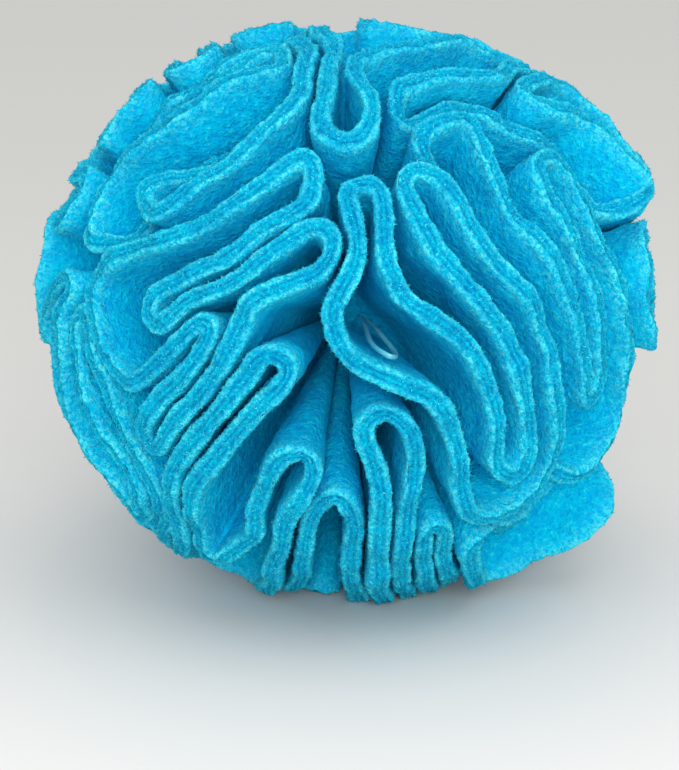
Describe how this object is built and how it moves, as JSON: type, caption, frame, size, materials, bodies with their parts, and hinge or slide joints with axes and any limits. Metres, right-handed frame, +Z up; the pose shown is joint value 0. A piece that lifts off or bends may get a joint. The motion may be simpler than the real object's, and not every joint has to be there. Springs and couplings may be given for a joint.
{
  "type": "dog snuffle ball",
  "caption": "Ball of thick fleece circles, each folded and drawn together at the core, with deep pockets between the folds that hide dry dog food.",
  "frame": {"origin": "on the floor, under the middle of the ball's outline", "axes": "+Z up, -Y towards the side that the picture shows, +X to the right in that view"},
  "size_m": [0.13, 0.1265, 0.1185],
  "materials": {
    "fleece": "napped cyan-blue fleece with a pebbled pile",
    "tie": "clear pale-blue nylon"
  },
  "bodies": {
    "root": {"fleece_upper_left": "fleece", "fleece_left": "fleece", "fleece_right": "fleece", "fleece_far_right": "fleece", "fleece_top": "fleece", "fleece_upper_right": "fleece", "fleece_lower_left": "fleece", "fleece_bottom_middle": "fleece", "fleece_bottom_left": "fleece", "fleece_bottom_right": "fleece", "fleece_lower_limb": "fleece", "fleece_left_rear": "fleece", "fleece_upper_left_rear": "fleece", "fleece_top_rear": "fleece", "fleece_right_rear": "fleece", "fleece_rear_middle": "fleece", "fleece_rear_lower": "fleece", "fleece_rear_low": "fleece", "fleece_rear_left": "fleece", "tie_loop": "tie"}
  },
  "joints": []
}
